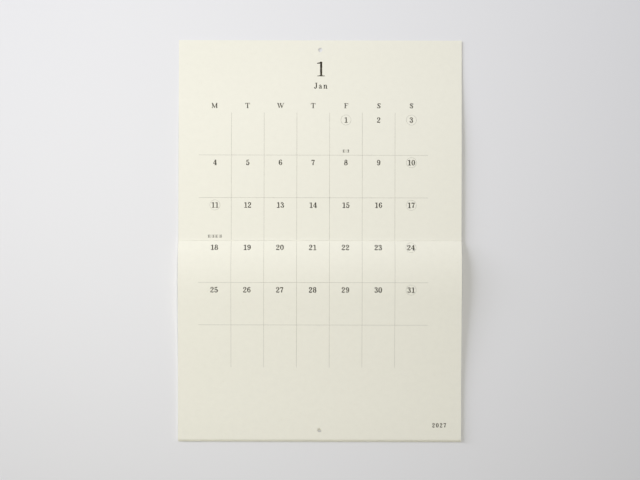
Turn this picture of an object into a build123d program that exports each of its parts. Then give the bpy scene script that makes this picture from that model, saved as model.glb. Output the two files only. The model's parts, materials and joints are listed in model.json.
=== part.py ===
"""Stapled wall calendar, hung open at its first month. Millimetres.

The calendar is a booklet of folded sheets. Its front cover is turned up and hangs from a hole near its
top edge, and the pages and the back cover hang down from the fold, which runs left to right.

Frame: the origin is the centre of the hanging hole, on the wall side of the paper. +X is to the right,
+Z is up, the wall is the plane y = 0 and the calendar faces -Y. A depth is a distance out from the wall.
"""

import os

from build123d import *

# The sheets
sheet_width = 297.0  # left to right
leaf_height = 210.0  # from the fold to the far edge of a leaf
cover_thickness = 0.25  # the outer sheet

# The two holes, one in the raised cover and one in everything that hangs below the fold
hole_radius = 2.25
hole_from_edge = 10.0  # from a leaf's far edge to its hole's centre

# The raised cover, flat behind the hook and then pushed off the wall by the stapled spine
flat_at_hook = 30.0  # from the top edge down to where the cover starts to leave the wall
settled_at = 136.0  # from the top edge down to where it has reached the spine's depth
spine_depth = 3.0  # from the wall to the back of the raised cover at the fold

# The pages, which billow out below the fold and come back to the wall
billow_slope = 0.36  # how far the first page comes forward for each millimetre just below the fold
billow_at = 37.0  # from the fold down to the fullest point
billow_depth = 10.0  # from the wall to the first page there
billow_half_at = 83.0  # from the fold down to where the first page is half-way back
billow_back_slope = 0.09  # how fast the first page falls back there
slack_until = 165.0  # from the fold down to where the pages lie flat again
stack_depth = 2.2  # from the wall to the first page where they lie flat
spine_round = 1.2  # the back of the nested folds
crease_round = 0.3  # the front of the nested folds

# The staples
wire_diameter = 0.5
crown_length = 12.0
leg_length = 3.6  # from the middle of the crown's wire to the middle of the clinched wire
clinch_length = 4.6  # how far a leg's end is bent in along the fold
wire_bend = 0.6  # radius of the wire's bends, at its middle
staple_spacing = 150.0
crown_bite = 0.1  # how far the crown presses into the folded edge

# Clearances
fold_gap = 0.3  # between two bodies along a fold
leaf_gap = 0.3  # between the pages and the back cover
crease_gap = 0.3  # from the raised cover's face out to the line that it turns about
wire_gap = 0.05  # around a staple in its slot

# Places worked out from the sizes
top_edge = hole_from_edge
fold_line = top_edge - leaf_height
foot_edge = fold_line - leaf_height
foot_hole = foot_edge + hole_from_edge
cover_foot = fold_line + fold_gap / 2
pages_top = fold_line - fold_gap / 2
cover_face = spine_depth + cover_thickness
pages_back = cover_thickness + leaf_gap
crown_height = pages_top + wire_diameter / 2 - crown_bite
staple_depth = (pages_back + cover_face) / 2


def raised_cover_side(wall_depth):
    """One face of the raised cover, seen end on: flat at the hook, eased out, then flat to the fold."""
    hook = Line((-wall_depth, top_edge), (-wall_depth, top_edge - flat_at_hook))
    settled = (-wall_depth - spine_depth, top_edge - settled_at)
    Spline(hook @ 1, settled, tangents=[(0, -1), (0, -1)])
    return Line(settled, (settled[0], cover_foot))


def bent_wire(centre_x, radius, spare):
    """A closed staple: a crown along the fold, two legs down and two ends clinched towards each other.

    spare lengthens both ends, so that the same shape can cut the slot that the staple sits in.
    """
    half_crown = crown_length / 2
    clinch_height = crown_height - leg_length
    tip = half_crown - clinch_length - spare
    with BuildPart() as wire:
        with BuildLine(Plane.XZ.offset(staple_depth)) as bends:
            FilletPolyline(
                (centre_x - tip, clinch_height),
                (centre_x - half_crown, clinch_height),
                (centre_x - half_crown, crown_height),
                (centre_x + half_crown, crown_height),
                (centre_x + half_crown, clinch_height),
                (centre_x + tip, clinch_height),
                radius=wire_bend,
            )
        with BuildSketch(Plane(origin=bends.wire() @ 0, z_dir=bends.wire() % 0)):
            Circle(radius)
        sweep(path=bends.wire())
    return wire.part


# The staples, and the slots that they leave in the pages
staple_places = {"staple_left": -staple_spacing / 2, "staple_right": staple_spacing / 2}
staples = {}
slots = []
for staple_name, staple_x in staple_places.items():
    staples[staple_name] = bent_wire(staple_x, wire_diameter / 2, 0)
    slots.append(bent_wire(staple_x, wire_diameter / 2 + wire_gap, wire_gap))

# The front half of the outer sheet, turned up
with BuildPart() as front_cover:
    with BuildSketch(Plane.YZ):
        with BuildLine():
            back = raised_cover_side(0)
            face = raised_cover_side(cover_thickness)
            Line(back @ 1, face @ 1)
            Line((0, top_edge), (-cover_thickness, top_edge))
        make_face()
    extrude(amount=sheet_width / 2, both=True)
    with BuildSketch(Plane.XZ):
        Circle(hole_radius)
    extrude(amount=cover_face, both=True, mode=Mode.SUBTRACT)

# The inner sheets: one block, rounded over the nested folds, full below them and thin at the foot
with BuildPart() as page_block:
    with BuildSketch(Plane.YZ):
        with BuildLine():
            crease = (-cover_face, pages_top)
            flat_again = (-stack_depth, fold_line - slack_until)
            Spline(
                crease,
                (-billow_depth, fold_line - billow_at),
                (-(billow_depth + stack_depth) / 2, fold_line - billow_half_at),
                flat_again,
                tangents=[(-billow_slope, -1), (0, -1), (billow_back_slope, -1), (0, -1)],
            )
            Polyline(
                flat_again,
                (-stack_depth, foot_edge),
                (-pages_back, foot_edge),
                (-pages_back, pages_top),
                crease,
            )
        make_face()
    extrude(amount=sheet_width / 2, both=True)
    folded_edges = page_block.edges().filter_by(Axis.X).group_by(Axis.Z)[-1].sort_by(Axis.Y)
    fillet(folded_edges[-1], spine_round)
    front_edge = page_block.edges().filter_by(Axis.X).group_by(Axis.Z)[-1].sort_by(Axis.Y)[0]
    fillet(front_edge, crease_round)
    with BuildSketch(Plane.XZ):
        with Locations((0, foot_hole)):
            Circle(hole_radius)
    extrude(amount=billow_depth, mode=Mode.SUBTRACT)
    for slot in slots:
        add(slot, mode=Mode.SUBTRACT)

# The back half of the outer sheet, behind the pages
with BuildPart() as back_cover:
    with BuildSketch(Plane.XZ):
        with Locations((0, (pages_top + foot_edge) / 2)):
            Rectangle(sheet_width, pages_top - foot_edge)
        with Locations((0, foot_hole)):
            Circle(hole_radius, mode=Mode.SUBTRACT)
    extrude(amount=cover_thickness)

nodes = {
    "front_cover": front_cover.part,
    "page_block": page_block.part,
    "back_cover": back_cover.part,
    **staples,
}
os.makedirs("parts", exist_ok=True)
for node_name, node in nodes.items():
    node.label = node_name
    export_step(node, f"parts/{node_name}.step")

# The two lines that the covers turn about, both along X
print("front cover fold, y and z:", -(cover_face + crease_gap), fold_line)
print("back cover fold, y and z:", -cover_thickness / 2, fold_line)
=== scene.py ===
# %% [markdown]
# # A stapled wall calendar
#
# The calendar is a booklet: one outer sheet and six inner sheets, each folded once and nested, held by
# two wire staples through the fold. It hangs open at its first month. The front half of the outer sheet
# is turned up and carries the hanging hole. The rest hangs below the fold, billows off the wall and comes
# back to it at the foot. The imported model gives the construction, and this file gives it real paper.

# %% Load the frame
import json
import math

import bpy
import numpy as np
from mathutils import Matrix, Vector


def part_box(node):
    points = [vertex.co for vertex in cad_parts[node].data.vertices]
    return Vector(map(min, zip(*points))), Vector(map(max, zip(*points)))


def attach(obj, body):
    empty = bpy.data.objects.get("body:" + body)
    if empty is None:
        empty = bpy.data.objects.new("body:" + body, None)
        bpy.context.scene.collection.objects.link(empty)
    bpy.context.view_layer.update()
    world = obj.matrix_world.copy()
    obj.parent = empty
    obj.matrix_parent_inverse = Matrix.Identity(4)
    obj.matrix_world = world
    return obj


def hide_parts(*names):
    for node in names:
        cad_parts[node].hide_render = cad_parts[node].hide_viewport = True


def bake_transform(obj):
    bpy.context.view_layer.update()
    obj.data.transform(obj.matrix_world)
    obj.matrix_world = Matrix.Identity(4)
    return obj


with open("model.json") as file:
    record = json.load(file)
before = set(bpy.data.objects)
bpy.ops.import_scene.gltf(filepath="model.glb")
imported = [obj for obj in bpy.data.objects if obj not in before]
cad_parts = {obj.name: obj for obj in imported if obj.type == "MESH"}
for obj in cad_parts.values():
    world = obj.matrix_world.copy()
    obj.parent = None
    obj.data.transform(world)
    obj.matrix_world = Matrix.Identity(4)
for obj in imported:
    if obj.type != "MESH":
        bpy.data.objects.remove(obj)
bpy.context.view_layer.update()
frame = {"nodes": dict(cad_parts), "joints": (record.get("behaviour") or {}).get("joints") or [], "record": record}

# %% [markdown]
# ## Sizes
#
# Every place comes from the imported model, so the paper lies where the solids are. Blender works in
# metres here, and `MM` keeps small sizes readable.

# %% Sizes from the frame
MM = 0.001
joints = {joint["name"]: joint for joint in frame["joints"]}
mounts = {mount["name"]: mount for mount in frame["record"]["mounts"]}
cover_low, cover_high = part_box("front_cover")
pages_low, pages_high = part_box("page_block")

half_width = cover_high.x
top_z = cover_high.z
fold_z = joints["front_cover_fold"]["pos_m"][2]
foot_z = pages_low.z
pages_top = pages_high.z
cover_face = -cover_low.y
leaf_length = pages_top - foot_z
hole_radius = mounts["hanging_hole"]["dims"]["r_mm"] * MM
hole_inset = mounts["foot_hole"]["pos_m"][2] - foot_z
print(f"sheet {2 * half_width / MM:.1f} mm wide, fold at z = {fold_z / MM:.1f} mm")

cover_paper = 0.18 * MM
inner_paper = 0.135 * MM
crease_radius = 0.10 * MM
inner_sheets = 6
inner_leaves = 2 * inner_sheets

# %% [markdown]
# ## From arrays to a mesh
#
# A surface is worked out as whole arrays of points and faces, and `from_pydata` puts them into a mesh at
# the end. The object stays at the origin with its place in its mesh, as the CAD nodes do. Each vertex
# also keeps its place on the flat sheet in a UV map, in metres, so that the grain of the paper follows
# the sheet round a fold.


# %% Mesh helper
SHARP_ANGLE = math.radians(50)


def add_object(name, data):
    """Puts a mesh, a lamp or a camera into the scene as an object."""
    made = bpy.data.objects.new(name, data)
    bpy.context.scene.collection.objects.link(made)
    return made


def add_piece(name, points, faces, flat, materials, face_slots):
    """Makes an object from arrays: corner points, four-sided faces and places on the flat sheet."""
    mesh = bpy.data.meshes.new(name)
    mesh.from_pydata(points.tolist(), [], faces.tolist())
    uv = mesh.uv_layers.new(name="flat_sheet")
    corners = np.zeros(len(mesh.loops), np.int32)
    mesh.loops.foreach_get("vertex_index", corners)
    uv.data.foreach_set("uv", flat[corners].astype(np.float32).ravel())
    for material in materials:
        mesh.materials.append(material)
    mesh.polygons.foreach_set("material_index", face_slots.astype(np.int32))
    mesh.polygons.foreach_set("use_smooth", np.ones(len(faces), bool))
    mesh.set_sharp_from_angle(angle=SHARP_ANGLE)
    mesh.update()
    return add_object(name, mesh)


# %% [markdown]
# ## A flat sheet with a round hole
#
# A punched hole could be cut with a boolean, but that leaves long thin triangles. Here the sheet is a
# grid, the square patch round each hole is left out, and rings of faces close the gap between the patch's
# border and the circle. The same numbers of points on both make every face four-sided.

# %% Grid with punched holes
PATCH = 6 * MM
PATCH_CELLS = 8
PATCH_RINGS = 5
RING_POWER = 0.8
ROUNDING = 1e-7


def stations(*stops):
    """Positions from one stop to the next. Each stop after the first is (position, number of steps)."""
    runs = [np.array([stops[0]])]
    start = stops[0]
    for end, steps in stops[1:]:
        runs.append(np.linspace(start, end, steps + 1)[1:])
        start = end
    return np.concatenate(runs)


def patch_border(columns, rows):
    """Indices of the grid points round a patch, counter-clockwise from its lower left corner."""
    left, right = columns
    low, high = rows
    i, j = np.arange(left, right), np.arange(low, high)
    column = np.concatenate([i, np.full_like(j, right), i[::-1] + 1, np.full_like(j, left)])
    row = np.concatenate([np.full_like(i, low), j, np.full_like(i, high), j[::-1] + 1])
    return np.stack([column, row], -1)


def flat_sheet(across, along, hole_rows):
    """Points and faces of a flat sheet, across by along, with a round hole at x = 0 in each of hole_rows.

    Round a hole, ring number r lies a share (r / PATCH_RINGS) to the power RING_POWER of the way from
    the patch's square border to the circle, whose points stand at equal angles.
    """
    columns, rows = len(across), len(along)
    points = np.stack(np.meshgrid(across, along, indexing="ij"), -1).reshape(-1, 2)
    cell_x, cell_y = np.meshgrid(np.arange(columns - 1), np.arange(rows - 1), indexing="ij")
    corner = cell_x * rows + cell_y
    cells = np.stack([corner, corner + rows, corner + rows + 1, corner + 1], -1)
    keep = np.ones(cell_x.shape, bool)
    extra_points, extra_faces = [], []
    count = len(points)
    for hole in hole_rows:
        left, right = np.searchsorted(across, [-PATCH - ROUNDING, PATCH - ROUNDING])
        low, high = np.searchsorted(along, [hole - PATCH - ROUNDING, hole + PATCH - ROUNDING])
        keep[left:right, low:high] = False
        border = patch_border((left, right), (low, high))
        outer = border[:, 0] * rows + border[:, 1]
        turn = np.radians(-135) + np.arange(len(outer)) * 2 * np.pi / len(outer)
        circle = hole_radius * np.stack([np.cos(turn), np.sin(turn)], -1) + [0, hole]
        share = np.linspace(0, 1, PATCH_RINGS + 1)[1:, None, None] ** RING_POWER
        rings = points[outer] * (1 - share) + circle * share
        ring_points = count + np.arange(rings[..., 0].size).reshape(rings.shape[:2])
        loops = np.vstack([outer, ring_points])
        following = np.roll(loops, -1, axis=1)
        faces = np.stack([loops[:-1], following[:-1], following[1:], loops[1:]], -1)
        extra_points.append(rings.reshape(-1, 2))
        extra_faces.append(faces.reshape(-1, 4))
        count += rings[..., 0].size
    points = np.vstack([points, *extra_points])
    faces = np.vstack([cells[keep].reshape(-1, 4), *extra_faces])
    used, renumbered = np.unique(faces, return_inverse=True)
    return points[used], renumbered.reshape(faces.shape)


# %% [markdown]
# ## A path through the booklet
#
# Paper bends one way at a time, so a hanging sheet is a profile carried straight across its width. The
# profile is a path in the plane seen end on: how far out from the wall, and how high, at each distance
# along the sheet. Reading it with `np.interp` puts any flat point in space, and the path's slope gives
# the direction square to the paper, which is where the thickness and the ink go.


# %% Path and surface
SLOPE_STEP = 0.02 * MM
RIPPLE_FADE = 0.05
RIPPLE_ACROSS, RIPPLE_ALONG = 0.043, 0.031


class SheetPath:
    """A sheet's profile: depth from the wall and height at each distance along the sheet."""

    def __init__(self, along, depth, height, ripple=0.0, phase=0.0):
        self.along, self.depth, self.height = along, depth, height
        self.ripple, self.phase = ripple, phase

    def centre(self, along):
        """Depth and height at the middle of the paper's thickness."""
        depth = np.interp(along, self.along, self.depth)
        height = np.interp(along, self.along, self.height)
        return depth, height

    def place(self, flat, lift):
        """Puts flat points in space, lift out from the middle of the paper.

        The outward direction is square to the path. The ripple is its height times a slow sine wave
        across the sheet, times another along it, and fades as the square of the distance to the fold.
        """
        across, along = flat[:, 0], flat[:, 1]
        depth, height = self.centre(along)
        ahead, behind = self.centre(along + SLOPE_STEP), self.centre(along - SLOPE_STEP)
        rise_depth, rise_height = ahead[0] - behind[0], ahead[1] - behind[1]
        length = np.hypot(rise_depth, rise_height)
        out_depth, out_height = rise_height / length, -rise_depth / length
        fade = np.clip(np.abs(along) / RIPPLE_FADE, 0, 1) ** 2
        wave = np.sin(across / RIPPLE_ACROSS + self.phase) * np.sin(along / RIPPLE_ALONG + 2 * self.phase)
        depth = depth + out_depth * lift + self.ripple * fade * wave
        height = height + out_height * lift
        return np.stack([across, -depth, height], -1)


def rim_of(faces):
    """The edges that only one face has, in the order in which that face runs them."""
    edges = np.concatenate([faces[:, [a, (a + 1) % 4]] for a in range(4)])
    _, first, uses = np.unique(np.sort(edges, 1), axis=0, return_index=True, return_counts=True)
    return edges[first[uses == 1]]


def paper_shell(name, path, flat, faces, low, high, materials):
    """A closed sheet on a path: a face at each lift, low and high, and a rim that joins them all round."""
    count = len(flat)
    points = np.vstack([path.place(flat, high), path.place(flat, low)])
    rim = rim_of(faces)
    rim_faces = np.stack([rim[:, 1], rim[:, 0], rim[:, 0] + count, rim[:, 1] + count], -1)
    all_faces = np.vstack([faces, faces[:, ::-1] + count, rim_faces])
    slots = np.zeros(len(all_faces))
    slots[2 * len(faces):] = len(materials) - 1
    return add_piece(name, points, all_faces, np.vstack([flat, flat]), materials, slots)


# %% [markdown]
# ## Shader groups for paper, ink and wire
#
# Uncoated stock is never one colour. Light passes through loose fibres, so it has a soft cloudiness a few
# millimetres across, finer felt marks, and a few darker fibres. That effect is one node group, used by
# every kind of paper here with its own amounts, and its height output feeds the bump.


# %% Node helpers
def node(tree, kind, values=(), **settings):
    """A new node with its settings, and with values at its inputs by name or by number."""
    made = tree.nodes.new(kind)
    for key, setting in settings.items():
        setattr(made, key, setting)
    for socket, value in dict(values).items():
        made.inputs[socket].default_value = value
    return made


def wire(tree, source, target):
    """Joins an output socket to an input socket."""
    tree.links.new(source, target)


def math_node(tree, operation, first, second):
    """A Math node whose inputs may be sockets or numbers. Gives its output."""
    made = node(tree, "ShaderNodeMath", operation=operation)
    for index, value in enumerate((first, second)):
        if isinstance(value, (int, float)):
            made.inputs[index].default_value = value
        else:
            wire(tree, value, made.inputs[index])
    return made.outputs[0]


def noise(tree, vector, scale, detail, roughness):
    """A noise texture's value, read at a vector."""
    values = {"Scale": scale, "Detail": detail, "Roughness": roughness}
    made = node(tree, "ShaderNodeTexNoise", values, noise_dimensions="3D")
    wire(tree, vector, made.inputs["Vector"])
    return made.outputs["Fac"]


def ranged(tree, value, low, high, to_low, to_high):
    """A value mapped from one range to another, held at its ends."""
    made = node(tree, "ShaderNodeMapRange", {1: low, 2: high, 3: to_low, 4: to_high})
    wire(tree, value, made.inputs[0])
    return made.outputs[0]


def tinted(tree, factor, base, other, mode="MIX"):
    """Two colours mixed by a factor. Each may be a socket or a colour."""
    made = node(tree, "ShaderNodeMix", data_type="RGBA", blend_type=mode)
    for index, value in ((0, factor), (6, base), (7, other)):
        if isinstance(value, (int, float, tuple)):
            made.inputs[index].default_value = value
        else:
            wire(tree, value, made.inputs[index])
    return made.outputs[2]


def stretched(tree, vector, scale, turn=0.0):
    """A vector scaled along each axis and turned about Z."""
    made = node(tree, "ShaderNodeMapping", {"Scale": scale, "Rotation": (0, 0, turn)})
    wire(tree, vector, made.inputs["Vector"])
    return made.outputs[0]


def relief(tree, shader, height, strength, distance):
    """Tilts a shader's normal to follow a height."""
    made = node(tree, "ShaderNodeBump", {"Strength": strength, "Distance": distance})
    wire(tree, height, made.inputs["Height"])
    wire(tree, made.outputs[0], shader.inputs["Normal"])


# %% [markdown]
# The fibres are long and thin, so their noise is read through a coordinate that is stretched one way and
# turned a little. Taking only a narrow band of it leaves hair-like marks, and a slower noise hides most
# of them.


# %% The paper group
# Noise scales, in marks per metre of paper.
CLOUD_SCALE, FELT_SCALE, FIBRE_SCALE, SPARSE_SCALE = 160, 1300, 900, 420
FIBRE_BAND = 0.012
FIBRE_TINT = (0.80, 0.74, 0.60, 1)


def make_stock_group():
    """Uncoated paper: cloudiness, felt marks and fibres, as a colour, a roughness and a height."""
    group = bpy.data.node_groups.new("uncoated_stock", "ShaderNodeTree")
    sockets = group.interface
    sockets.new_socket("Vector", in_out="INPUT", socket_type="NodeSocketVector")
    sockets.new_socket("Stock", in_out="INPUT", socket_type="NodeSocketColor")
    for name in ("Cloud", "Fibre", "Tooth"):
        sockets.new_socket(name, in_out="INPUT", socket_type="NodeSocketFloat")
    sockets.new_socket("Color", in_out="OUTPUT", socket_type="NodeSocketColor")
    for name in ("Roughness", "Height"):
        sockets.new_socket(name, in_out="OUTPUT", socket_type="NodeSocketFloat")
    given = node(group, "NodeGroupInput")
    result = node(group, "NodeGroupOutput")

    cloud = ranged(group, noise(group, given.outputs["Vector"], CLOUD_SCALE, 4, 0.6), 0.3, 0.7, -1, 1)
    felt = ranged(group, noise(group, given.outputs["Vector"], FELT_SCALE, 3, 0.65), 0.25, 0.75, -1, 1)
    strands = stretched(group, given.outputs["Vector"], (1, 0.16, 1), 0.5)
    hair = noise(group, strands, FIBRE_SCALE, 2, 0.5)
    band = math_node(group, "ABSOLUTE", math_node(group, "SUBTRACT", hair, 0.5), 0)
    fibre = ranged(group, band, 0.0, FIBRE_BAND, 1, 0)
    sparse = ranged(group, noise(group, given.outputs["Vector"], SPARSE_SCALE, 1, 0.5), 0.58, 0.7, 0, 1)
    fibre = math_node(group, "MULTIPLY", fibre, sparse)

    mottle = math_node(group, "ADD", cloud, math_node(group, "MULTIPLY", felt, 0.6))
    shade = math_node(group, "MULTIPLY", mottle, given.outputs["Cloud"])
    level = math_node(group, "ADD", shade, 1.0)
    scaled = node(group, "ShaderNodeVectorMath", operation="SCALE")
    wire(group, given.outputs["Stock"], scaled.inputs[0])
    wire(group, level, scaled.inputs["Scale"])
    dark = tinted(group, 1.0, scaled.outputs[0], FIBRE_TINT, "MULTIPLY")
    fibre_share = math_node(group, "MULTIPLY", fibre, given.outputs["Fibre"])
    wire(group, tinted(group, fibre_share, scaled.outputs[0], dark), result.inputs["Color"])
    wire(group, ranged(group, felt, -1, 1, 0.82, 0.95), result.inputs["Roughness"])
    felt_height = math_node(group, "MULTIPLY", felt, 0.5)
    fibre_height = math_node(group, "MULTIPLY", fibre, 0.4)
    height = math_node(group, "ADD", felt_height, fibre_height)
    wire(group, math_node(group, "MULTIPLY", height, given.outputs["Tooth"]), result.inputs["Height"])
    return group


stock_group = make_stock_group()


# %% [markdown]
# Each material holds its own Principled shader. The two sides of a sheet are the same stock. The cut edge
# is rougher, because it shows the ends of the fibres, and darker, partly for the fibre ends and partly as
# painted shade, standing for the shade that falls between the edges of the stacked leaves.


# %% Materials
def new_material(name, values):
    """A material with a Principled shader of these values. Gives the material, its tree and the shader."""
    material = bpy.data.materials.new(name)
    material.use_nodes = True
    tree = material.node_tree
    tree.nodes.clear()
    shader = node(tree, "ShaderNodeBsdfPrincipled", values)
    output = node(tree, "ShaderNodeOutputMaterial")
    wire(tree, shader.outputs[0], output.inputs["Surface"])
    return material, tree, shader


def paper_material(name, stock, cloud, fibre, tooth, bump):
    """Uncoated paper of one stock colour, with its grain following the flat sheet."""
    material, tree, shader = new_material(name, {"Specular IOR Level": 0.18})
    place = node(tree, "ShaderNodeUVMap", uv_map="flat_sheet")
    amounts = {"Stock": (*stock, 1), "Cloud": cloud, "Fibre": fibre, "Tooth": tooth}
    grain = node(tree, "ShaderNodeGroup", amounts, node_tree=stock_group)
    wire(tree, place.outputs[0], grain.inputs["Vector"])
    wire(tree, grain.outputs["Color"], shader.inputs["Base Color"])
    wire(tree, grain.outputs["Roughness"], shader.inputs["Roughness"])
    relief(tree, shader, grain.outputs["Height"], bump, 0.03 * MM)
    return material


IVORY = (0.812, 0.797, 0.695)
# The cut edge colour is darker than the stock: partly fibre ends, partly painted shade between stacked leaf edges.
CUT_IVORY_WITH_SHADE = (0.64, 0.615, 0.52)
cover_stock = paper_material("ivory_cover_stock", IVORY, cloud=0.010, fibre=0.35, tooth=1.0, bump=0.5)
page_stock = paper_material("ivory_page_stock", IVORY, cloud=0.012, fibre=0.45, tooth=1.0, bump=0.5)
cut_edge_with_shade = paper_material("cut_paper_edge", CUT_IVORY_WITH_SHADE, cloud=0.05, fibre=0.8, tooth=1.5, bump=0.8)
print("paper materials:", cover_stock.name, page_stock.name, cut_edge_with_shade.name)

# %% [markdown]
# Ink on uncoated paper sinks in, so it is matt, slightly uneven and never quite black. One function
# makes both the text ink and the lighter ink of the thin rules.


# %% Ink and wire materials
ZINC_DULL, ZINC_BRIGHT = (0.50, 0.50, 0.49, 1), (0.74, 0.74, 0.73, 1)


def ink_material(name, dark, light):
    """Printed ink: two close tones mixed by a fine noise, where the paper's tooth took less ink."""
    material, tree, shader = new_material(name, {"Specular IOR Level": 0.12})
    place = node(tree, "ShaderNodeUVMap", uv_map="flat_sheet")
    wear = ranged(tree, noise(tree, place.outputs[0], 2600, 3, 0.6), 0.35, 0.75, 0, 1)
    wire(tree, tinted(tree, wear, (*dark, 1), (*light, 1)), shader.inputs["Base Color"])
    wire(tree, ranged(tree, wear, 0, 1, 0.62, 0.85), shader.inputs["Roughness"])
    return material


def wire_material(name):
    """Drawn galvanised wire: bright metal with fine lengthwise scratches and dull patches."""
    material, tree, shader = new_material(name, {"Metallic": 1.0})
    place = node(tree, "ShaderNodeTexCoord")
    patches = noise(tree, place.outputs["Object"], 1400, 4, 0.6)
    colour = tinted(tree, patches, ZINC_DULL, ZINC_BRIGHT)
    wire(tree, colour, shader.inputs["Base Color"])
    wire(tree, ranged(tree, patches, 0.3, 0.7, 0.24, 0.46), shader.inputs["Roughness"])
    scratches = noise(tree, stretched(tree, place.outputs["Object"], (0.1, 1, 1)), 9000, 2, 0.5)
    relief(tree, shader, scratches, 0.3, 0.01 * MM)
    return material


text_ink = ink_material("text_ink", dark=(0.026, 0.021, 0.012), light=(0.060, 0.050, 0.032))
rule_ink = ink_material("rule_ink", dark=(0.13, 0.115, 0.085), light=(0.22, 0.20, 0.16))
galvanised = wire_material("galvanised_wire")

# %% [markdown]
# ## The billow
#
# Just below the fold the pages stand away from the wall, because the fold wants to stay half closed and
# their weight pulls them back. The first page's profile is a chain of cubic curves: each piece leaves and
# arrives with a stated slope, so the whole has no kink. Every other leaf takes a share of that billow, less
# and less towards the wall, which is what lets air in between them and fans their side edges.

# %% Profiles of the hanging leaves
billow_below = np.array([0, 37, 83, 172, 212]) * MM
billow_depth = np.array([3.50, 10.0, 6.75, 2.6, 2.6]) * MM
billow_slope = np.array([0.40, 0.0, -0.078, 0.0, 0.0])


def eased(at, stops, values, slopes):
    """Cubic pieces through the values at the stops, with the given slopes there (Hermite curves)."""
    piece = np.clip(np.searchsorted(stops, at, side="right") - 1, 0, len(stops) - 2)
    span = stops[piece + 1] - stops[piece]
    t = np.clip((at - stops[piece]) / span, 0, 1)
    start = (2 * t**3 - 3 * t**2 + 1) * values[piece] + (t**3 - 2 * t**2 + t) * span * slopes[piece]
    end = (3 * t**2 - 2 * t**3) * values[piece + 1] + (t**3 - t**2) * span * slopes[piece + 1]
    return start + end


fold_spread = np.array([3.42, 0.62]) * MM
foot_spread = np.array([2.53, 0.47]) * MM
closes_by = 70 * MM
share_power = 1.15
share_scatter = 0.018
past_foot = 2 * MM
rng = np.random.default_rng(27)
leaf_order = np.linspace(0, 1, inner_leaves)
billow_share = (1 - leaf_order) ** share_power
billow_share[1:-1] += rng.uniform(-share_scatter, share_scatter, inner_leaves - 2)
drop = np.linspace(0, leaf_length + past_foot, 2400)


def leaf_depth(leaf):
    """Depth of a leaf at each drop below the fold: its place in the stack plus its share of the billow."""
    spreads = (fold_spread, foot_spread)
    near_fold, near_foot = (first + (last - first) * leaf_order for first, last in spreads)
    settle = np.clip(drop / closes_by, 0, 1)
    settle = settle * settle * (3 - 2 * settle)
    stack = near_fold[:, None] * (1 - settle) + near_foot[:, None] * settle
    billow = eased(drop, billow_below, billow_depth - inner_paper / 2, billow_slope) - stack[0]
    return stack[leaf] + billow_share[leaf] * billow


def run_length(depth, height):
    """Distance along a curve from its first point."""
    return np.concatenate([[0], np.cumsum(np.hypot(np.diff(depth), np.diff(height)))])


# %% [markdown]
# ## The inner sheets
#
# An inner sheet is one piece of paper, so it is one mesh: up the front leaf, over the fold and down the
# rear leaf. Its fold is as wide as the leaves inside it are thick, flat on top and tight at its corners,
# because the booklet is pressed after it is folded. Distances along a leaf are measured on the paper, so a
# leaf that billows more ends a little higher at the foot, and its hole moves up with it. The rear leaves
# are also a little longer, and show below the first page as a thin shaded line.

# %% Build the inner sheets
fold_rise = 0.32 * MM
corner_power = 0.32
nest_step = 0.15 * MM
nest_gap = 0.02 * MM
rear_overhang = 1.3 * MM
nest_top = pages_top - cover_paper - inner_paper / 2 - nest_gap
ripple_height = 0.05 * MM
page_phase, cover_phase = 0.8, 2.1


def folded_path(sheet):
    """The profile of an inner sheet. Distance is negative down the front leaf and positive down the rear.

    The fold is an ellipse made squarer: its cosine and sine are raised to a power well under one.
    """
    front, rear = leaf_depth(sheet), leaf_depth(inner_leaves - 1 - sheet)
    top = nest_top - sheet * nest_step
    rise = min(fold_rise, (front[0] - rear[0]) / 2)
    starts = pages_top - top + rise
    hanging = drop >= starts
    turn = np.linspace(0, np.pi, 41)[1:-1]
    edge_front, edge_rear = np.interp(starts, drop, front), np.interp(starts, drop, rear)
    middle, reach = (edge_front + edge_rear) / 2, (edge_front - edge_rear) / 2
    front_along = run_length(front, drop)[hanging]
    rear_along = run_length(rear, drop)[hanging]
    fold_along = -np.cos(turn) * starts
    along = np.concatenate([-front_along[::-1], fold_along, rear_along])
    sideways = np.sign(np.cos(turn)) * np.abs(np.cos(turn)) ** corner_power
    depth = np.concatenate([front[hanging][::-1], middle + reach * sideways, rear[hanging]])
    height = np.concatenate([
        pages_top - drop[hanging][::-1],
        top - rise + rise * np.sin(turn) ** corner_power,
        pages_top - drop[hanging],
    ])
    ripple = ripple_height if sheet == 0 else 0.0
    return SheetPath(along, depth, height, ripple, page_phase)


half_stations = (-PATCH, 11), (PATCH, PATCH_CELLS), (half_width, 11)
sheet_columns = stations(-half_width, *half_stations)
fold_zone = 1.5 * MM
fold_rows = np.linspace(-fold_zone, fold_zone, 31)[1:-1]


def leaf_size(leaf):
    """Length of a leaf from the top of its fold, and the place of its hole. The rear leaves are longer."""
    length = leaf_length + rear_overhang * leaf_order[leaf]
    return length, length - hole_inset


def leaf_rows(leaf):
    """Distances down a leaf at which its grid has rows."""
    length, hole = leaf_size(leaf)
    return stations(
        fold_zone, (20 * MM, 14), (120 * MM, 50), (hole - PATCH, 24),
        (hole + PATCH, PATCH_CELLS), (length, 3),
    )


page_paths = [folded_path(sheet) for sheet in range(inner_sheets)]
for sheet, path in enumerate(page_paths):
    front, rear = sheet, inner_leaves - 1 - sheet
    rows = np.concatenate([-leaf_rows(front)[::-1], fold_rows, leaf_rows(rear)])
    page_flat, page_faces = flat_sheet(sheet_columns, rows, (-leaf_size(front)[1], leaf_size(rear)[1]))
    piece = paper_shell(
        f"inner_sheet_{sheet + 1}", path, page_flat, page_faces,
        -inner_paper / 2, inner_paper / 2, [page_stock, cut_edge_with_shade],
    )
    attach(piece, "pages")
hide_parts("page_block")
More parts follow.
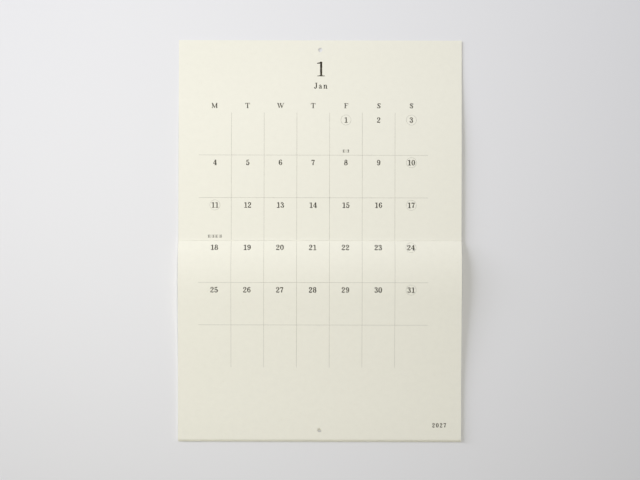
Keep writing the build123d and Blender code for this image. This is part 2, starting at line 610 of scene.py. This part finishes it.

# %% [markdown]
# ## The outer sheet
#
# The outer sheet is creased twice, at the front and at the back of the stapled spine, and turns at both.
# The front part runs from the top edge down to the front crease and half-way over the spine, and the rear
# part takes over there and runs down against the wall. The upper leaf is flat behind the hook and then
# eased off the wall, because the spine holds its lower end forward. It hangs on its nail a hair off the
# wall, and its last few millimetres turn forward into the crease.

# %% Profiles of the outer sheet
leaves_wall_at = 14 * MM
settles_at = 128 * MM
nail_stand = 0.5 * MM
wall_gap = 0.01 * MM
flare_height = 3.5 * MM
flare_depth = 0.25 * MM
spine_middle = cover_face / 2
strip_z = pages_top - cover_paper / 2


def raised_path():
    """The upper leaf with its crease. Distance is measured up from the crease, and is negative behind it.

    The leaf leaves the wall by three times the square of its share of the way less twice the cube.
    """
    height = np.linspace(strip_z + crease_radius, top_z, 2200)
    below_top = top_z - height
    share = np.clip((below_top - leaves_wall_at) / (settles_at - leaves_wall_at), 0, 1)
    near_wall, near_spine = cover_paper / 2 + nail_stand, cover_face - cover_paper / 2
    depth = near_wall + (near_spine - near_wall) * share * share * (3 - 2 * share)
    flare = flare_depth * np.clip(1 - (height - height[0]) / flare_height, 0, 1) ** 2
    depth = depth + flare
    turn = np.linspace(0, np.pi / 2, 20)[:-1]
    bend_depth = depth[0] - crease_radius + crease_radius * np.sin(turn)
    bend_height = strip_z + crease_radius - crease_radius * np.cos(turn)
    all_depth = np.concatenate([[spine_middle], bend_depth, depth])
    all_height = np.concatenate([[strip_z], bend_height, height])
    along = run_length(all_depth, all_height)
    crease = np.interp(fold_z, all_height[1:], along[1:])
    return SheetPath(along - crease, all_depth, all_height, ripple_height, cover_phase)


def rear_path():
    """Half of the strip over the spine, the rear crease, and the rear leaf down against the wall."""
    near_wall = cover_paper / 2 + wall_gap
    height = np.linspace(strip_z - crease_radius, foot_z - rear_overhang, 400)
    turn = np.linspace(0, np.pi / 2, 20)[:-1]
    bend_depth = near_wall + crease_radius - crease_radius * np.sin(turn)
    bend_height = strip_z - crease_radius + crease_radius * np.cos(turn)
    all_depth = np.concatenate([[spine_middle], bend_depth, np.full_like(height, near_wall)])
    all_height = np.concatenate([[strip_z], bend_height, height])
    return SheetPath(run_length(all_depth, all_height), all_depth, all_height)


raised, rear = raised_path(), rear_path()
print(f"upper leaf {raised.along[-1] / MM:.2f} mm, strip over the spine {-raised.along[0] / MM:.2f} mm")

# %% Build the outer sheet
upper_hole = np.interp(0, raised.height[1:], raised.along[1:])
upper_rows = stations(
    raised.along[0], (-0.4 * MM, 6), (0.5 * MM, 14), (4 * MM, 12), (60 * MM, 16), (150 * MM, 36),
    (upper_hole - PATCH, 14), (upper_hole + PATCH, PATCH_CELLS), (raised.along[-1], 3),
)
upper_flat, upper_faces = flat_sheet(sheet_columns, upper_rows, (upper_hole,))
outer_front = paper_shell(
    "outer_sheet_front", raised, upper_flat, upper_faces,
    -cover_paper / 2, cover_paper / 2, [cover_stock, cut_edge_with_shade],
)
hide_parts("front_cover")

rear_hole = rear.along[-1] - hole_inset
rear_rows = stations(
    0, (1.2 * MM, 6), (2.2 * MM, 16), (6 * MM, 14), (rear_hole - PATCH, 30),
    (rear_hole + PATCH, PATCH_CELLS), (rear.along[-1], 3),
)
rear_flat, rear_faces = flat_sheet(sheet_columns, rear_rows, (rear_hole,))
outer_rear = paper_shell(
    "outer_sheet_rear", rear, rear_flat, rear_faces,
    -cover_paper / 2, cover_paper / 2, [cover_stock, cut_edge_with_shade],
)
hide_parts("back_cover")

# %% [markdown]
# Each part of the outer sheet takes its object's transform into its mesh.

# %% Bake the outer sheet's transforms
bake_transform(outer_front)
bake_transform(outer_rear)

# %% [markdown]
# ## Pen strokes
#
# The numbers are a plain bookish serif face, drawn here. Each character is a few strokes of a
# broad pen: points on the stroke's path with the pen's width at each. The path is smoothed through its
# points, and the width makes the contrast between heavy and hairline strokes. A character is one unit
# tall, and its first number is how much room it takes. A heavy stem is `STEM` wide and a hairline `HAIR`.

# %% Characters
STEM, HAIR = 0.155, 0.045


def straight(x0, y0, x1, y1, width=HAIR):
    """A stroke of even width between two points."""
    return [(x0, y0, width), (x1, y1, width)]


def oval(x, y, reach_x, reach_y, heavy):
    """A closed stroke round an ellipse, heavy at its sides and a hairline at top and bottom."""
    turn = np.linspace(0, 2 * np.pi, 33)
    width = HAIR + (heavy - HAIR) * np.abs(np.cos(turn)) ** 1.5
    return np.stack([x + reach_x * np.cos(turn), y + reach_y * np.sin(turn), width], -1)


def dot(x, y, radius):
    """A ball: a short stroke across it whose width swells and shrinks as the circle does."""
    blunt = 0.12
    turn = np.linspace(blunt, np.pi - blunt, 13)
    return np.stack([x - radius * np.cos(turn), np.full_like(turn, y), 2 * radius * np.sin(turn)], -1)


six = [
    dot(0.48, 0.82, 0.075),
    [(0.54, 0.84, 0.04), (0.45, 0.96, 0.06), (0.33, 0.972, 0.05), (0.18, 0.82, 0.12), (0.115, 0.50, 0.165),
     (0.17, 0.17, 0.13), (0.33, 0.028, 0.05), (0.49, 0.13, 0.11), (0.54, 0.31, 0.155), (0.48, 0.50, 0.11),
     (0.35, 0.585, 0.05), (0.21, 0.51, 0.05), (0.14, 0.40, 0.05)],
]
characters = {
    "0": (0.66, [oval(0.33, 0.5, 0.215, 0.472, STEM)]),
    "1": (0.62, [straight(0.345, 0.985, 0.345, 0.02, 0.138),
                 [(0.08, 0.022, 0.04), (0.33, 0.035, 0.075), (0.58, 0.022, 0.04)],
                 [(0.36, 0.955, 0.08), (0.24, 0.895, 0.08), (0.07, 0.875, 0.06)]]),
    "2": (0.66, [dot(0.155, 0.745, 0.08), straight(0.09, 0.06, 0.09, 0.02),
                 [(0.085, 0.75, 0.04), (0.15, 0.91, 0.06), (0.31, 0.975, 0.05), (0.46, 0.89, 0.11),
                  (0.505, 0.75, 0.155), (0.44, 0.57, 0.12), (0.26, 0.35, 0.06), (0.11, 0.17, 0.05),
                  (0.08, 0.05, 0.05)],
                 [(0.08, 0.055, 0.06), (0.20, 0.09, 0.11), (0.37, 0.055, 0.12), (0.50, 0.07, 0.09),
                  (0.55, 0.22, 0.045)]]),
    "3": (0.64, [dot(0.145, 0.79, 0.075), dot(0.135, 0.205, 0.08),
                 [(0.08, 0.80, 0.04), (0.15, 0.93, 0.06), (0.29, 0.975, 0.05), (0.43, 0.885, 0.11),
                  (0.465, 0.76, 0.145), (0.40, 0.62, 0.10), (0.25, 0.54, 0.045)],
                 [(0.24, 0.54, 0.045), (0.41, 0.48, 0.09), (0.51, 0.295, 0.16), (0.45, 0.10, 0.11),
                  (0.29, 0.028, 0.05), (0.15, 0.07, 0.06), (0.07, 0.20, 0.04)]]),
    "4": (0.67, [straight(0.41, 0.975, 0.05, 0.285), straight(0.04, 0.285, 0.62, 0.285, 0.05),
                 straight(0.44, 0.985, 0.44, 0.02, STEM), straight(0.26, 0.025, 0.62, 0.025, 0.05)]),
    "5": (0.64, [dot(0.135, 0.20, 0.08), straight(0.15, 0.965, 0.13, 0.50),
                 [(0.14, 0.93, 0.10), (0.34, 0.91, 0.12), (0.52, 0.975, 0.05)],
                 [(0.13, 0.50, 0.045), (0.27, 0.60, 0.06), (0.45, 0.53, 0.12), (0.52, 0.32, 0.16),
                  (0.45, 0.10, 0.11), (0.28, 0.028, 0.05), (0.14, 0.07, 0.06), (0.07, 0.20, 0.04)]]),
    "6": (0.66, six),
    "7": (0.64, [straight(0.085, 0.985, 0.085, 0.74),
                 [(0.085, 0.87, 0.09), (0.22, 0.915, 0.13), (0.40, 0.88, 0.12), (0.55, 0.955, 0.05)],
                 [(0.555, 0.95, 0.045), (0.43, 0.67, 0.07), (0.32, 0.38, 0.13), (0.29, 0.02, 0.17)]]),
    "8": (0.66, [oval(0.33, 0.755, 0.165, 0.217, 0.12), oval(0.33, 0.275, 0.205, 0.25, STEM)]),
    "9": (0.66, [np.array(stroke) * (-1, -1, 1) + (0.66, 1, 0) for stroke in six]),
    "M": (1.04, [straight(0.15, 0.975, 0.15, 0.025), [(0.16, 0.96, 0.14), (0.51, 0.07, 0.14)],
                 straight(0.86, 0.97, 0.51, 0.06), straight(0.88, 0.975, 0.88, 0.025, STEM),
                 straight(0.03, 0.025, 0.27, 0.025), straight(0.74, 0.025, 1.02, 0.025),
                 straight(0.03, 0.978, 0.22, 0.978), straight(0.84, 0.978, 1.02, 0.978)]),
    "T": (0.84, [straight(0.42, 0.975, 0.42, 0.025, STEM), straight(0.05, 0.975, 0.79, 0.975, 0.05),
                 straight(0.06, 0.98, 0.06, 0.74), straight(0.78, 0.98, 0.78, 0.74),
                 straight(0.26, 0.025, 0.58, 0.025)]),
    "W": (1.22, [[(0.15, 0.97, STEM), (0.39, 0.04, 0.12)], straight(0.40, 0.04, 0.62, 0.95),
                 [(0.59, 0.97, STEM), (0.83, 0.04, 0.12)], straight(0.84, 0.04, 1.09, 0.97),
                 straight(0.02, 0.978, 0.29, 0.978), straight(0.47, 0.978, 0.73, 0.978),
                 straight(0.97, 0.978, 1.20, 0.978)]),
    "F": (0.76, [straight(0.22, 0.975, 0.22, 0.025, STEM), straight(0.05, 0.975, 0.69, 0.975, 0.05),
                 straight(0.69, 0.98, 0.69, 0.73), straight(0.28, 0.52, 0.52, 0.52),
                 straight(0.52, 0.65, 0.52, 0.39), straight(0.05, 0.025, 0.42, 0.025)]),
    "S": (0.66, [straight(0.56, 0.985, 0.56, 0.72), straight(0.09, 0.28, 0.09, 0.015),
                 [(0.56, 0.72, 0.045), (0.50, 0.90, 0.05), (0.34, 0.975, 0.05), (0.17, 0.89, 0.10),
                  (0.13, 0.74, 0.13), (0.24, 0.59, 0.15), (0.43, 0.44, 0.155), (0.54, 0.27, 0.14),
                  (0.48, 0.10, 0.10), (0.31, 0.025, 0.05), (0.14, 0.11, 0.05), (0.09, 0.28, 0.045)]]),
    "J": (0.60, [dot(0.135, 0.17, 0.08), straight(0.22, 0.978, 0.58, 0.978), [(0.41, 0.975, STEM),
                 (0.41, 0.62, STEM), (0.41, 0.28, 0.15), (0.35, 0.08, 0.10), (0.22, 0.028, 0.055),
                 (0.08, 0.13, 0.045)]]),
    "a": (0.60, [dot(0.15, 0.50, 0.06),
                 [(0.10, 0.50, 0.04), (0.19, 0.635, 0.05), (0.32, 0.63, 0.08), (0.405, 0.50, 0.13),
                  (0.405, 0.30, 0.13), (0.41, 0.11, 0.12), (0.48, 0.04, 0.06), (0.57, 0.08, 0.035)],
                 [(0.39, 0.38, 0.04), (0.21, 0.31, 0.08), (0.12, 0.17, 0.13), (0.19, 0.045, 0.07),
                  (0.30, 0.05, 0.05), (0.39, 0.16, 0.04)]]),
    "n": (0.66, [straight(0.17, 0.64, 0.17, 0.025, 0.13), straight(0.04, 0.635, 0.18, 0.635),
                 straight(0.04, 0.025, 0.31, 0.025), straight(0.36, 0.025, 0.64, 0.025),
                 [(0.20, 0.46, 0.05), (0.28, 0.60, 0.055), (0.40, 0.635, 0.08), (0.49, 0.52, 0.13),
                  (0.49, 0.30, 0.13), (0.49, 0.03, 0.13)]]),
}
print(f"{len(characters)} characters of {sum(len(strokes) for _, strokes in characters.values())} strokes")

# %% [markdown]
# A stroke becomes a strip of faces, half the pen's width to each side of its path. `Print` collects the
# strips of one colour for one leaf, still flat, and then lays them on that leaf as a thin film of ink.


# %% Printing
MANY_ROWS = 10
STEPS_PER_ROW = 5
ink_clearance = 0.010 * MM
ink_film = 0.018 * MM


def smoothed(rows):
    """A smooth curve through the rows (Catmull-Rom): each new point is a cubic blend of four rows.

    Two rows give a straight line in short pieces, and more than MANY_ROWS are close enough as they are.
    """
    rows = np.asarray(rows, float)
    if len(rows) > MANY_ROWS:
        return rows
    if len(rows) == 2:
        t = np.linspace(0, 1, 9)[:, None]
        return rows[0] * (1 - t) + rows[1] * t
    padded = np.vstack([2 * rows[0] - rows[1], rows, 2 * rows[-1] - rows[-2]])
    t = np.linspace(0, len(rows) - 1, STEPS_PER_ROW * (len(rows) - 1) + 1)
    piece = np.minimum(t.astype(int), len(rows) - 2)
    f = (t - piece)[:, None]
    a, b, c, d = (padded[piece + shift] for shift in range(4))
    return 0.5 * (2 * b + (c - a) * f + (2 * a - 5 * b + 4 * c - d) * f**2 + (3 * b - a - 3 * c + d) * f**3)


class Print:
    """Strokes of one ink on one leaf, in the leaf's flat coordinates."""

    def __init__(self):
        self.points, self.faces, self.count = [], [], 0

    def stroke(self, rows):
        """Adds a strip along rows of (x, along, width): each side lies half the width from the path."""
        path, width = rows[:, :2], rows[:, 2:]
        heading = np.gradient(path, axis=0)
        if np.allclose(path[0], path[-1]):
            heading[0] = heading[-1] = path[1] - path[-2]
        heading /= np.linalg.norm(heading, axis=1)[:, None]
        left = np.stack([-heading[:, 1], heading[:, 0]], -1) * width / 2
        index = self.count + np.arange(len(rows) - 1)
        self.points += [path - left, path + left]
        right_side, left_side = index, index + len(rows)
        self.faces.append(np.stack([right_side, right_side + 1, left_side + 1, left_side], -1))
        self.count += 2 * len(rows)

    def rule(self, start, end, width, steps=1):
        """Adds a straight thin rule between two flat points."""
        t = np.linspace(0, 1, steps + 1)[:, None]
        self.stroke(np.hstack([np.array(start) * (1 - t) + np.array(end) * t, np.full_like(t, width)]))

    def text(self, words, centre, baseline, height, spacing=0.0, weight=0.0, widen=1.0):
        """Adds a line of characters centred on a point.

        Each takes its own room times widen times the height, plus the spacing. Weight is added to every
        pen width, per unit of height.
        """
        advances = [characters[letter][0] * widen * height + spacing for letter in words]
        left = centre - (sum(advances) - spacing) / 2
        for letter, advance in zip(words, advances):
            for rows in characters[letter][1]:
                pen = (smoothed(rows) + (0, 0, weight)) * (widen, 1, 1)
                self.stroke(pen * height + (left, baseline, 0))
            left += advance

    def ring(self, centre, middle, radius, width):
        """Adds a thin ring round a point."""
        turn = np.linspace(0, 2 * np.pi, 49)
        rows = [centre + radius * np.cos(turn), middle + radius * np.sin(turn), np.full_like(turn, width)]
        self.stroke(np.stack(rows, -1))

    def lay(self, name, path, paper, ink, slot):
        """Lays the print on a leaf as a closed film that stands just proud of the paper."""
        flat, faces = np.vstack(self.points), np.vstack(self.faces)
        low = paper / 2 + ink_clearance
        piece = paper_shell(name, path, flat, faces, low, low + ink_film, [ink])
        print(f"{name}: {len(piece.data.polygons)} faces")
        return piece


# %% [markdown]
# ## The month
#
# The grid is seven columns by six rows, centred up and down on the fold. Columns stand a little to the
# left of the sheet's middle, and the year sits in the corner that this leaves. The first falls on a
# Friday, and thin rings mark the Sundays and two holidays. A stroke goes on the upper leaf or on the
# first page by the sign of its distance from the fold.

# %% Lay out the month
row_height = 44.7 * MM
column_width = 34.32 * MM
column_middle = -7.2 * MM
lower_shift = -0.35 * MM
rules_left, rules_right = -127.2 * MM, 113.0 * MM
upper_start, lower_start = 0.1 * MM, -0.75 * MM
rule_width = 0.16 * MM
upright_steps, level_steps = 110, 40
date_height = 5.6 * MM
date_drop = 7.7 * MM
date_gap = 0.1 * MM
date_weight = 0.055
date_widen = 1.12
ring_radius = 5.3 * MM
ring_width = 0.155 * MM
first_weekday = 4
days_in_month = 31
ringed = {1, 3, 10, 11, 17, 24, 31}
grid_rows = 6

prints = {key: Print() for key in ("upper_text", "lower_text", "upper_rules", "lower_rules")}
column_x = column_middle + (np.arange(7) - 3) * column_width
row_top = (grid_rows / 2 - np.arange(grid_rows)) * row_height

for day in range(1, days_in_month + 1):
    row, column = divmod(day - 1 + first_weekday, 7)
    middle = row_top[row] - date_drop
    leaf, shift = ("upper", 0) if middle > 0 else ("lower", lower_shift)
    centre, baseline = column_x[column] + shift, middle - date_height / 2
    prints[f"{leaf}_text"].text(str(day), centre, baseline, date_height, date_gap, date_weight, date_widen)
    if day in ringed:
        prints[f"{leaf}_rules"].ring(centre, middle, ring_radius, ring_width)

for x in column_x[:-1] + column_width / 2:
    prints["upper_rules"].rule((x, upper_start), (x, row_top[0]), rule_width, upright_steps)
    prints["lower_rules"].rule((x, lower_start), (x, -row_top[0]), rule_width, upright_steps)
for level in row_top[1:]:
    if abs(level) > row_height / 2:
        leaf = "upper" if level > 0 else "lower"
        prints[f"{leaf}_rules"].rule((rules_left, level), (rules_right, level), rule_width, level_steps)

# %% Title, weekdays and year
title_middle = 0.4 * MM
year_middle = 125.5 * MM
prints["upper_text"].text("1", title_middle, baseline=172.4 * MM, height=15.6 * MM)
prints["upper_text"].text(
    "Jan", title_middle, baseline=159.4 * MM, height=6.0 * MM, spacing=1.0 * MM, weight=0.035, widen=1.12
)
weekday_shift = np.array([-0.7, -0.33, 0, -0.15, 0.15, 0.2, 0.1]) * MM
weekday_weight = np.array([0.045, 0.045, 0.045, 0.05, 0.04, 0.075, 0.075])
for letter, x, weight in zip("MTWTFSS", column_x + weekday_shift, weekday_weight):
    prints["upper_text"].text(letter, x, baseline=138.9 * MM, height=5.1 * MM, weight=weight, widen=1.2)
prints["lower_text"].text(
    "2027", year_middle, baseline=-196.9 * MM, height=4.45 * MM, spacing=1.05 * MM, weight=0.055
)

# %% [markdown]
# The two small holiday names are left out as words. In their place stand rows of tiny blocks, four
# short strokes each, which keep the grey of small type and say nothing.


# %% Small type without words
block_side, block_pitch = 3.0 * MM, 3.9 * MM
level_shares = (0.1, 0.5, 0.9)
level_width, upright_width = 0.32 * MM, 0.5 * MM


def small_type(target, centre, baseline, blocks):
    """A row of blocks in place of small type: three level strokes and one upright in each.

    The upright stands 0.3 of the way across a block and 0.7 of the way across the next, in turn.
    """
    for block in range(blocks):
        left = centre + (block - (blocks - 1) / 2) * block_pitch - block_side / 2
        for share in level_shares:
            level = baseline + share * block_side
            target.rule((left, level), (left + block_side, level), level_width)
        upright = left + block_side * (0.3 + 0.4 * (block % 2))
        target.rule((upright, baseline), (upright, baseline + block_side), upright_width)


small_type(prints["upper_text"], column_x[4], row_top[1] + 2.9 * MM, blocks=2)
small_type(prints["upper_text"], column_x[0], row_top[3] + 2.7 * MM, blocks=4)

# %% Lay the ink on the paper
for key, ink in (("text", text_ink), ("rules", rule_ink)):
    on_cover = prints[f"upper_{key}"].lay(f"print_upper_{key}", raised, cover_paper, ink, "cover_paper")
    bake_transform(on_cover)
    on_page = prints[f"lower_{key}"].lay(f"print_lower_{key}", page_paths[0], inner_paper, ink, "page_paper")
    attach(on_page, "pages")

# %% [markdown]
# ## Staples
#
# The CAD wire is already round and bent to shape, so it stays and only takes its finish.

# %% Finish the CAD staples
for name in ("staple_left", "staple_right"):
    staple = frame["nodes"][name]
    staple.data.materials.clear()
    staple.data.materials.append(galvanised)

# %% [markdown]
# ## The wall, the lights and the camera
#
# The backdrop is a plain pale wall that the calendar touches. Seen from behind it turns clear, so that
# the back of the calendar can be looked at. A broad soft light stands high on the left and gives the
# shadow down the right side. It is turned well up, so that the wall fades a little towards the foot. A
# weak one beside it grazes the wall and lengthens the shadow, and a small frontal one, at the height of
# the fold and with a wide beam, fills. The window's light is a little cooler than the room's, so the
# shadows are warm. One more lamp stands behind the wall. It counts only where it falls directly, so none
# of it comes round to the front.


# %% Wall
PAINT = (0.75, 0.75, 0.757, 1)


def wall_material():
    """Matt pale paint with a trace of roller texture, clear from behind."""
    values = {"Base Color": PAINT, "Roughness": 0.9, "Specular IOR Level": 0.1}
    material, tree, shader = new_material("wall_paint", values)
    place = node(tree, "ShaderNodeTexCoord")
    relief(tree, shader, noise(tree, place.outputs["Object"], 700, 3, 0.6), 0.05, 0.1 * MM)
    clear = node(tree, "ShaderNodeBsdfTransparent")
    side = node(tree, "ShaderNodeNewGeometry")
    choose = node(tree, "ShaderNodeMixShader")
    wire(tree, side.outputs["Backfacing"], choose.inputs[0])
    wire(tree, shader.outputs[0], choose.inputs[1])
    wire(tree, clear.outputs[0], choose.inputs[2])
    output = [n for n in tree.nodes if n.type == "OUTPUT_MATERIAL"][0]
    wire(tree, choose.outputs[0], output.inputs["Surface"])
    return material


wall_reach = 3.0
wall_plane = 0.2 * MM
wall_corners = np.array([[-1, -1], [1, -1], [1, 1], [-1, 1]]) * wall_reach
wall_mesh = bpy.data.meshes.new("wall")
wall_mesh.from_pydata([(x, wall_plane, z + fold_z) for x, z in wall_corners], [], [(0, 1, 2, 3)])
wall_mesh.materials.append(wall_material())
wall = add_object("wall", wall_mesh)
wall.visible_shadow = False


# %% Lights
DAYLIGHT = (0.87, 0.885, 1.0)
LAMPLIGHT = (1.0, 0.982, 0.90)
REAR_STRENGTH = 40.0
FIRST_BOUNCE = 1.5
ROOM_STRENGTH, BACKDROP_STRENGTH = 0.131, 0.55


def area_light(name, place, aim, size, power, colour, beam=180):
    """A soft light of size (width, height) at a place, turned towards a point, with a beam that wide.

    The place and the point are given from the middle of the sheet.
    """
    lamp = bpy.data.lights.new(name, "AREA")
    lamp.shape = "RECTANGLE"
    lamp.size, lamp.size_y = size
    lamp.energy = power
    lamp.color = colour
    lamp.spread = math.radians(beam)
    holder = add_object(name, lamp)
    middle = Vector((0, 0, fold_z))
    holder.location = middle + Vector(place)
    direction = Vector(aim) - Vector(place)
    holder.rotation_euler = direction.to_track_quat("-Z", "Y").to_euler()
    holder.visible_camera = False
    return lamp


area_light("window_light", (-4.26, -2.70, 2.59), (-0.24, 0, 9.0), (2.50, 3.75), 940, DAYLIGHT)
area_light("wall_graze", (-2.85, -0.62, 0.70), (0.1, 0, 0), (0.6, 0.9), 30, DAYLIGHT)
area_light("front_fill", (0.03, -1.70, 0.05), (-0.31, 0, 0.018), (0.4, 0.4), 4.74, LAMPLIGHT, 93)
rear_lamp = area_light("rear_light", (0.5, 2.2, 0.6), (0, 0, 0), (1.5, 1.5), 1.0, LAMPLIGHT)
rear_lamp.use_nodes = True
glow = rear_lamp.node_tree.nodes["Emission"]
path_of_ray = node(rear_lamp.node_tree, "ShaderNodeLightPath")
direct_only = math_node(rear_lamp.node_tree, "LESS_THAN", path_of_ray.outputs["Ray Depth"], FIRST_BOUNCE)
rear_strength = math_node(rear_lamp.node_tree, "MULTIPLY", direct_only, REAR_STRENGTH)
wire(rear_lamp.node_tree, rear_strength, glow.inputs["Strength"])

world = bpy.data.worlds.new("studio")
bpy.context.scene.world = world
world.use_nodes = True
room = world.node_tree.nodes["Background"]
room.inputs["Color"].default_value = (1, 1, 1, 1)
seen = node(world.node_tree, "ShaderNodeLightPath").outputs["Is Camera Ray"]
strength = ranged(world.node_tree, seen, 0, 1, ROOM_STRENGTH, BACKDROP_STRENGTH)
wire(world.node_tree, strength, room.inputs["Strength"])
bpy.context.scene.view_settings.view_transform = "Standard"
bpy.context.scene.view_settings.look = "None"

# %% [markdown]
# The camera looks straight at the fold from under two metres, and its lens takes in a frame 671 mm
# wide at the paper. It leans by a hair, because the calendar doesn't hang quite true.

# %% Camera
camera_distance = 1.7
frame_width = 0.6712
aim_right, aim_up = 0.1 * MM, 0.4 * MM
roll = math.radians(-0.12)
camera_data = bpy.data.cameras.new("camera")
camera_data.sensor_width = 36.0
camera_data.lens = camera_data.sensor_width * (camera_distance - cover_face) / frame_width
camera = add_object("camera", camera_data)
camera.location = (aim_right, -camera_distance, fold_z + aim_up)
camera.rotation_euler = (math.radians(90), roll, 0)
bpy.context.scene.camera = camera
print(f"lens {camera_data.lens:.1f} mm")
